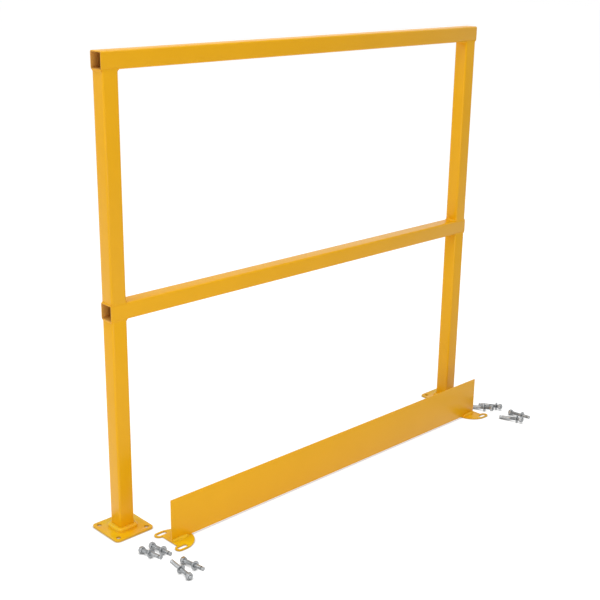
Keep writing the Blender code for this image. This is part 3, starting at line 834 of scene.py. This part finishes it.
def foot_route(side, leg):
    """The line round a post along the middle of its foot weld's face."""
    corner = bpy.context.scene.guard_rail_frame.tube_corner
    low, high = post_box(side)
    middle = (low + high) / 2
    straight = (high.x - low.x) / 2 - corner
    middle_share = DABS["foot"][0]
    face = corner + leg * middle_share
    height = low.z + leg * middle_share
    route = []
    for quarter, (sx, sy) in enumerate(((1, 1), (-1, 1), (-1, -1), (1, -1))):
        for step in range(CORNER_STEPS + 1):
            angle = math.pi / 2 * (quarter + step / CORNER_STEPS)
            out = Vector((math.cos(angle), math.sin(angle), 0.0))
            point = Vector((middle.x + sx * straight, middle.y + sy * straight, height)) + out * face
            route.append((point, (out + Vector((0, 0, 1))).normalized()))
    return route + route[:1]


class GUARDRAIL_OT_joint_welds(bpy.types.Operator):
    """Welds round the posts' ends at both rails, dressed flush at front and back"""

    bl_idname = "guardrail.joint_welds"
    bl_label = "Joint welds"

    def execute(self, context):
        coat = coated_steel("joint_weld_powder_coat")
        for side, inward in SIDES.items():
            for joint, rail, away in JOINTS:
                node = "%s_%s" % (side, joint)
                bead = joint_bead(node, post_box(side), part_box(rail), inward, away)
                finish_piece(bead, coat, [node])
        return {"FINISHED"}


def joint_bead(node, post, rail, inward, away):
    """The weld round a post's end at a rail: drawn in, ended at the corners, rippled and dressed flush."""
    weld = bpy.context.scene.guard_rail_weld
    inset = bpy.context.scene.guard_rail_frame.tube_corner
    low, high = post
    weld_low, weld_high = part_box(node)
    rail_low, rail_high = rail
    face = rail_high.z if away > 0 else rail_low.z
    post_face = high.x if inward > 0 else low.x
    leg = weld.dressed_share * (weld_high.z - face if away > 0 else face - weld_low.z)
    place = leg * DABS["joint"][0]
    out = Vector((inward, 0.0, away)).normalized()
    route = [(Vector((post_face + inward * place, y, face + away * place)), out)
             for y in (low.y + inset, high.y - inset)]
    bead = copy_node(node + "_bead", node)
    draw_in(bead, Vector((post_face, 0.0, face)), inward, away, weld.dressed_share)
    end_fillets(bead, (weld_low, weld_high), post, face, away)
    lap_post(bead, post, face, away)
    grow_bead(bead, route, leg, "joint")
    margin = Vector((leg, 0.0, leg))
    trim_low, trim_high = weld_low - margin, weld_high + margin
    trim_low.y, trim_high.y = low.y - weld.dressed, high.y + weld.dressed
    dress_flush(bead, trim_low, trim_high)
    outward(bead)
    return bead


class GUARDRAIL_OT_toe_welds(bpy.types.Operator):
    """Short fillet welds between the toe board and its feet"""

    bl_idname = "guardrail.toe_welds"
    bl_label = "Toe board welds"

    def execute(self, context):
        coat = coated_steel("toe_weld_powder_coat", weld=True)
        board_low, board_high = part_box("toe_board")
        for side in SIDES:
            for place, front in (("front", -1), ("back", 1)):
                node = "%s_toe_weld_%s" % (side, place)
                low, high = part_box(node)
                leg = high.z - low.z
                face = board_low.y if front < 0 else board_high.y
                out = Vector((0.0, front, 1.0)).normalized()
                away = leg * DABS["toe"][0]
                route = [(Vector((x, face + front * away, low.z + away)), out)
                         for x in (low.x + leg / 2, high.x - leg / 2)]
                bead = copy_node(node + "_bead", node)
                grow_bead(bead, route, leg, "toe")
                outward(bead)
                finish_piece(bead, coat, [node], angle=60.0)
        return {"FINISHED"}


def node_points(node):
    """The corners of a CAD node, each once."""
    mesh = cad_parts[node].data
    points = np.empty(len(mesh.vertices) * 3)
    mesh.vertices.foreach_get("co", points)
    return np.unique(points.reshape(-1, 3).round(5), axis=0)


def anchor_lie(number):
    """How an anchor lies: X runs up its stud from the threaded end, and Z is as upright as it can be."""
    stud = node_points("anchor_%d_stud" % number)
    middle = stud.mean(axis=0)
    axis = np.linalg.svd(stud - middle)[2][0]
    nut = node_points("anchor_%d_nut" % number).mean(axis=0)
    if (nut - middle) @ axis > 0:
        axis = -axis
    start = Vector(middle + axis * ((stud - middle) @ axis).min())
    along = Vector(axis)
    sideways = Vector((0, 0, 1)).cross(along).normalized()
    upright = along.cross(sideways)
    return Matrix.Translation(start) @ Matrix((along, sideways, upright)).transposed().to_4x4()


def place_along(number, piece):
    """How far up the stud a nut or washer is, at its middle."""
    points = node_points("anchor_%d_%s" % (number, piece))
    inverse = np.array(anchor_lie(number).inverted())
    return float((points @ inverse[0, :3] + inverse[0, 3]).mean())


def lay_copies(model, piece, slides=False):
    """Lays a copy of a model in each anchor's place, with its own mesh, and drops the model."""
    zinc = zinc_plate(piece + "_zinc_plate")
    for number in range(1, ANCHOR_COUNT + 1):
        node = "anchor_%d_%s" % (number, piece)
        copied = copy_mesh(node + "_plated", model.data)
        slide = place_along(number, piece) if slides else 0.0
        copied.data.transform(anchor_lie(number) @ Matrix.Translation((slide, 0, 0)))
        finish_piece(copied, zinc, [node])
    bpy.data.objects.remove(model, do_unlink=True)


class GUARDRAIL_OT_studs(bpy.types.Operator):
    """Wedge anchor studs: threaded end, plain shank, neck and cone"""

    bl_idname = "guardrail.studs"
    bl_label = "Anchor studs"

    def execute(self, context):
        lay_copies(stud_model(), "stud")
        return {"FINISHED"}


def stud_model():
    """Stud along +X from its threaded end, with the thread cut by a V-shaped tool on its helix."""
    sizes = bpy.context.scene.guard_rail_anchor
    radius = sizes.stud_diameter / 2
    neck_end = sizes.stud_length - sizes.tip_length - sizes.cone_length
    neck_start = neck_end - sizes.neck_length
    shoulder = neck_start + 0.15 * MM
    stud = new_rod("stud", radius, (0, 0, 0), (sizes.stud_length, 0, 0), sides=32)
    edit_mode()
    for place in (neck_start, shoulder, neck_end, neck_end + sizes.cone_length):
        slice_at((place, 0, 0), (1, 0, 0))
    select_parts(stud, "VERT", lambda vert: shoulder - GRIP < vert.co.x < neck_end + GRIP)
    thin = sizes.neck_diameter / sizes.stud_diameter
    bpy.ops.transform.resize(value=(1.0, thin, thin), center_override=(0, 0, 0))
    ends = (0.0, sizes.stud_length)
    select_parts(stud, "EDGE", lambda edge: any(
        all(abs(vert.co.x - end) < GRIP for vert in edge.verts) for end in ends))
    bpy.ops.mesh.bevel(offset=sizes.end_chamfer)
    object_mode()
    combine(stud, thread_tool(radius), "DIFFERENCE")
    outward(stud)
    return stud


def thread_tool(radius):
    """The V-shaped groove of the thread, as a closed coil to cut with, a little narrower than the pitch."""
    sizes = bpy.context.scene.guard_rail_anchor
    tool_share = 0.565
    tool_radius = tool_share * sizes.thread_pitch
    middle = radius - sizes.thread_depth + tool_radius
    turns = round(sizes.thread_length / sizes.thread_pitch) + 1
    coil = new_primitive("thread_tool", bpy.ops.mesh.primitive_circle_add, vertices=3, radius=tool_radius,
                         fill_type="NOTHING", rotation=(0.0, 0.0, math.pi))
    coil.data.transform(Matrix.Translation((-sizes.thread_pitch, middle, 0.0)))
    apply_modifier(coil, "SCREW", axis="X", angle=math.tau, screw_offset=sizes.thread_pitch, iterations=turns,
                   steps=24, render_steps=24)
    edit_mode()
    select_mesh()
    bpy.ops.mesh.remove_doubles(threshold=MERGE)
    select_parts(coil, "EDGE", lambda edge: edge.is_boundary)
    bpy.ops.mesh.edge_face_add()
    select_mesh()
    bpy.ops.mesh.normals_make_consistent(inside=False)
    object_mode()
    return coil


class GUARDRAIL_OT_clips(bpy.types.Operator):
    """Split expansion clips round the studs' necks"""

    bl_idname = "guardrail.clips"
    bl_label = "Expansion clips"

    def execute(self, context):
        lay_copies(clip_model(), "clip")
        return {"FINISHED"}


def clip_model():
    """Rolled sheet round the neck: open along its underside, with three fingers towards the cone."""
    sizes = bpy.context.scene.guard_rail_anchor
    clearance = 0.3 * MM
    root_share = 0.42
    open_half = math.radians(12.0)
    finger_half = math.radians(5.0)
    end = sizes.stud_length - sizes.tip_length - sizes.cone_length - clearance
    start = end - sizes.neck_length + 2 * clearance
    root = start + (end - start) * root_share
    outside = sizes.neck_diameter / 2 + clearance + sizes.clip_wall
    clip = new_rod("clip", outside, (start, 0, 0), (end, 0, 0), sides=45, fill="NOTHING")
    edit_mode()
    slice_at((root, 0, 0), (1, 0, 0))

    def in_gap(face):
        middle = face.calc_center_median()
        turned = math.atan2(middle.y, -middle.z)
        from_slit = min(abs(turned - slit) for slit in (math.tau / 3, -math.tau / 3))
        return abs(turned) < open_half or (middle.x > root and from_slit < finger_half)

    select_parts(clip, "FACE", in_gap)
    bpy.ops.mesh.delete(type="FACE")
    object_mode()
    outward(clip)
    apply_modifier(clip, "SOLIDIFY", thickness=sizes.clip_wall, offset=-1.0, use_even_offset=True)
    round_edges(clip, 0.12 * MM, segments=1, angle=50.0)
    outward(clip)
    return clip


class GUARDRAIL_OT_nuts(bpy.types.Operator):
    """Hexagon nuts with their corners turned down at both faces"""

    bl_idname = "guardrail.nuts"
    bl_label = "Nuts"

    def execute(self, context):
        lay_copies(nut_model(), "nut", slides=True)
        return {"FINISHED"}


def nut_model():
    """Hexagon about X lying on a flat, trimmed by a turned crown and bored through."""
    sizes = bpy.context.scene.guard_rail_anchor
    half = sizes.nut_height / 2
    corner_radius = sizes.nut_flats / math.sqrt(3)
    drop = 0.75 * MM
    face_radius = sizes.nut_flats * 0.49
    clearance = 0.05 * MM
    lead_in = 0.5 * MM
    nut = new_rod("nut", corner_radius, (-half, 0, 0), (half, 0, 0), sides=6)
    top = max(vert.co.z for vert in nut.data.vertices)
    flat_turn = 0.0 if abs(top - sizes.nut_flats / 2) < GRIP else math.pi / 6
    nut.data.transform(Matrix.Rotation(flat_turn, 4, "X"))
    crown = new_rod("crown", corner_radius, (drop - half, 0, 0), (half - drop, 0, 0), sides=64)
    face_share = face_radius / corner_radius
    for way in (-1, 1):
        edit_mode()
        select_parts(crown, "FACE", lambda face: face.normal.x * way > STRAIGHT)
        bpy.ops.mesh.extrude_region_move(TRANSFORM_OT_translate={"value": (way * drop, 0, 0)})
        bpy.ops.transform.resize(value=(1.0, face_share, face_share), center_override=(0, 0, 0))
        object_mode()
    combine(nut, crown, "INTERSECT")
    bore = sizes.stud_diameter / 2 + clearance
    combine(nut, new_rod("bore", bore, (-2 * half, 0, 0), (2 * half, 0, 0), sides=48), "DIFFERENCE")
    make_active(nut)
    edit_mode()
    select_parts(nut, "EDGE", lambda edge: all(
        abs(math.hypot(vert.co.y, vert.co.z) - bore) < GRIP and abs(abs(vert.co.x) - half) < GRIP
        for vert in edge.verts))
    bpy.ops.mesh.bevel(offset=lead_in)
    object_mode()
    outward(nut)
    round_edges(nut, 0.15 * MM, angle=25.0)
    return nut


class GUARDRAIL_OT_washers(bpy.types.Operator):
    """Flat washers"""

    bl_idname = "guardrail.washers"
    bl_label = "Washers"

    def execute(self, context):
        lay_copies(washer_model(), "washer", slides=True)
        return {"FINISHED"}


def washer_model():
    """Punched ring about X with its edges rolled over a little."""
    sizes = bpy.context.scene.guard_rail_anchor
    half = sizes.washer_thickness / 2
    clearance = 0.3 * MM
    bore = sizes.stud_diameter / 2 + clearance
    washer = new_rod("washer", sizes.washer_diameter / 2, (-half, 0, 0), (half, 0, 0), sides=56)
    combine(washer, new_rod("bore", bore, (-2 * half, 0, 0), (2 * half, 0, 0), sides=40), "DIFFERENCE")
    round_edges(washer, 0.25 * MM, angle=50.0)
    outward(washer)
    return washer


class GUARDRAIL_OT_stage(bpy.types.Operator):
    """White floor, light from all round, soft lamps and the camera"""

    bl_idname = "guardrail.stage"
    bl_label = "Studio"

    def execute(self, context):
        stage = context.scene.guard_rail_stage
        floor = new_primitive("floor", bpy.ops.mesh.primitive_plane_add, size=stage.floor_size)
        edit_mode()
        bpy.ops.mesh.subdivide(number_cuts=4)
        object_mode()
        floor.data.materials.append(studio_paper("studio_paper"))
        set_world(stage)
        for name, place, size, power in LAMPS:
            set_lamp(name, place, size, power * stage.lamp_level)
        set_camera(stage)
        context.scene.view_settings.view_transform = "Standard"
        return {"FINISHED"}


def set_world(stage):
    """White for the camera and in reflections, and an even light for everything else."""
    world = bpy.data.worlds.new("studio_world")
    world.use_nodes = True
    tree = world.node_tree
    tree.nodes.clear()
    lit = add_node(tree, "ShaderNodeBackground", {"Color": WHITE, "Strength": stage.ambient})
    white = add_node(tree, "ShaderNodeBackground", {"Color": WHITE, "Strength": 1.0})
    mix = add_node(tree, "ShaderNodeMixShader",
                   {0: background_rays(tree), 1: lit.outputs[0], 2: white.outputs[0]})
    add_node(tree, "ShaderNodeOutputWorld", {"Surface": mix.outputs[0]})
    bpy.context.scene.world = world


def set_lamp(name, place, size, power):
    """A soft square lamp, turned to the middle of the object."""
    low, high = CAD_BOX
    target = (Vector(low) + Vector(high)) / 2
    deselect_all()
    bpy.ops.object.light_add(type="AREA", location=place)
    lamp = bpy.context.object
    lamp.name = name
    lamp.data.energy = power
    lamp.data.size = size
    lamp.visible_camera = False
    lamp.rotation_euler = (Vector(place) - target).to_track_quat("Z", "Y").to_euler()


def set_camera(stage):
    """The camera where the photograph was taken from."""
    turn = (Matrix.Rotation(-stage.heading, 4, "Z") @ Matrix.Rotation(math.pi / 2 + stage.tilt, 4, "X")
            @ Matrix.Rotation(stage.roll, 4, "Z"))
    deselect_all()
    bpy.ops.object.camera_add(location=stage.camera_place, rotation=turn.to_euler())
    camera = bpy.context.object
    camera.name = "camera"
    camera.data.lens = stage.lens
    camera.data.clip_end = 2 * stage.floor_size
    bpy.context.scene.camera = camera


# In the order that main calls them
OPERATORS = (
    GUARDRAIL_OT_stage,
    GUARDRAIL_OT_rails,
    GUARDRAIL_OT_posts,
    GUARDRAIL_OT_base_plates,
    GUARDRAIL_OT_foot_welds,
    GUARDRAIL_OT_joint_welds,
    GUARDRAIL_OT_toe_board,
    GUARDRAIL_OT_toe_feet,
    GUARDRAIL_OT_toe_welds,
    GUARDRAIL_OT_studs,
    GUARDRAIL_OT_clips,
    GUARDRAIL_OT_nuts,
    GUARDRAIL_OT_washers,
)
SETTINGS = {
    "guard_rail_frame": FrameSettings,
    "guard_rail_coat": CoatSettings,
    "guard_rail_weld": WeldSettings,
    "guard_rail_anchor": AnchorSettings,
    "guard_rail_stage": StageSettings,
}


class GUARDRAIL_PT_panel(bpy.types.Panel):
    """Lists the settings and the operators of the guard rail set"""

    bl_idname = "GUARDRAIL_PT_panel"
    bl_label = "Guard Rail Set"
    bl_space_type = "VIEW_3D"
    bl_region_type = "UI"
    bl_category = "Guard Rail"

    def draw(self, context):
        for name, group in SETTINGS.items():
            box = self.layout.box()
            settings = getattr(context.scene, name)
            for setting in group.__annotations__:
                box.prop(settings, setting)
        for operator in OPERATORS:
            self.layout.operator(operator.bl_idname)


def register():
    for group in SETTINGS.values():
        bpy.utils.register_class(group)
    for name, group in SETTINGS.items():
        setattr(bpy.types.Scene, name, PointerProperty(type=group))
    for operator in OPERATORS:
        bpy.utils.register_class(operator)
    bpy.utils.register_class(GUARDRAIL_PT_panel)


def unregister():
    bpy.utils.unregister_class(GUARDRAIL_PT_panel)
    for operator in reversed(OPERATORS):
        bpy.utils.unregister_class(operator)
    for name, group in SETTINGS.items():
        delattr(bpy.types.Scene, name)
        bpy.utils.unregister_class(group)


def main():
    register()
    for operator in OPERATORS:
        getattr(bpy.ops.guardrail, operator.bl_idname.split(".")[1])()


if __name__ == "__main__":
    main()
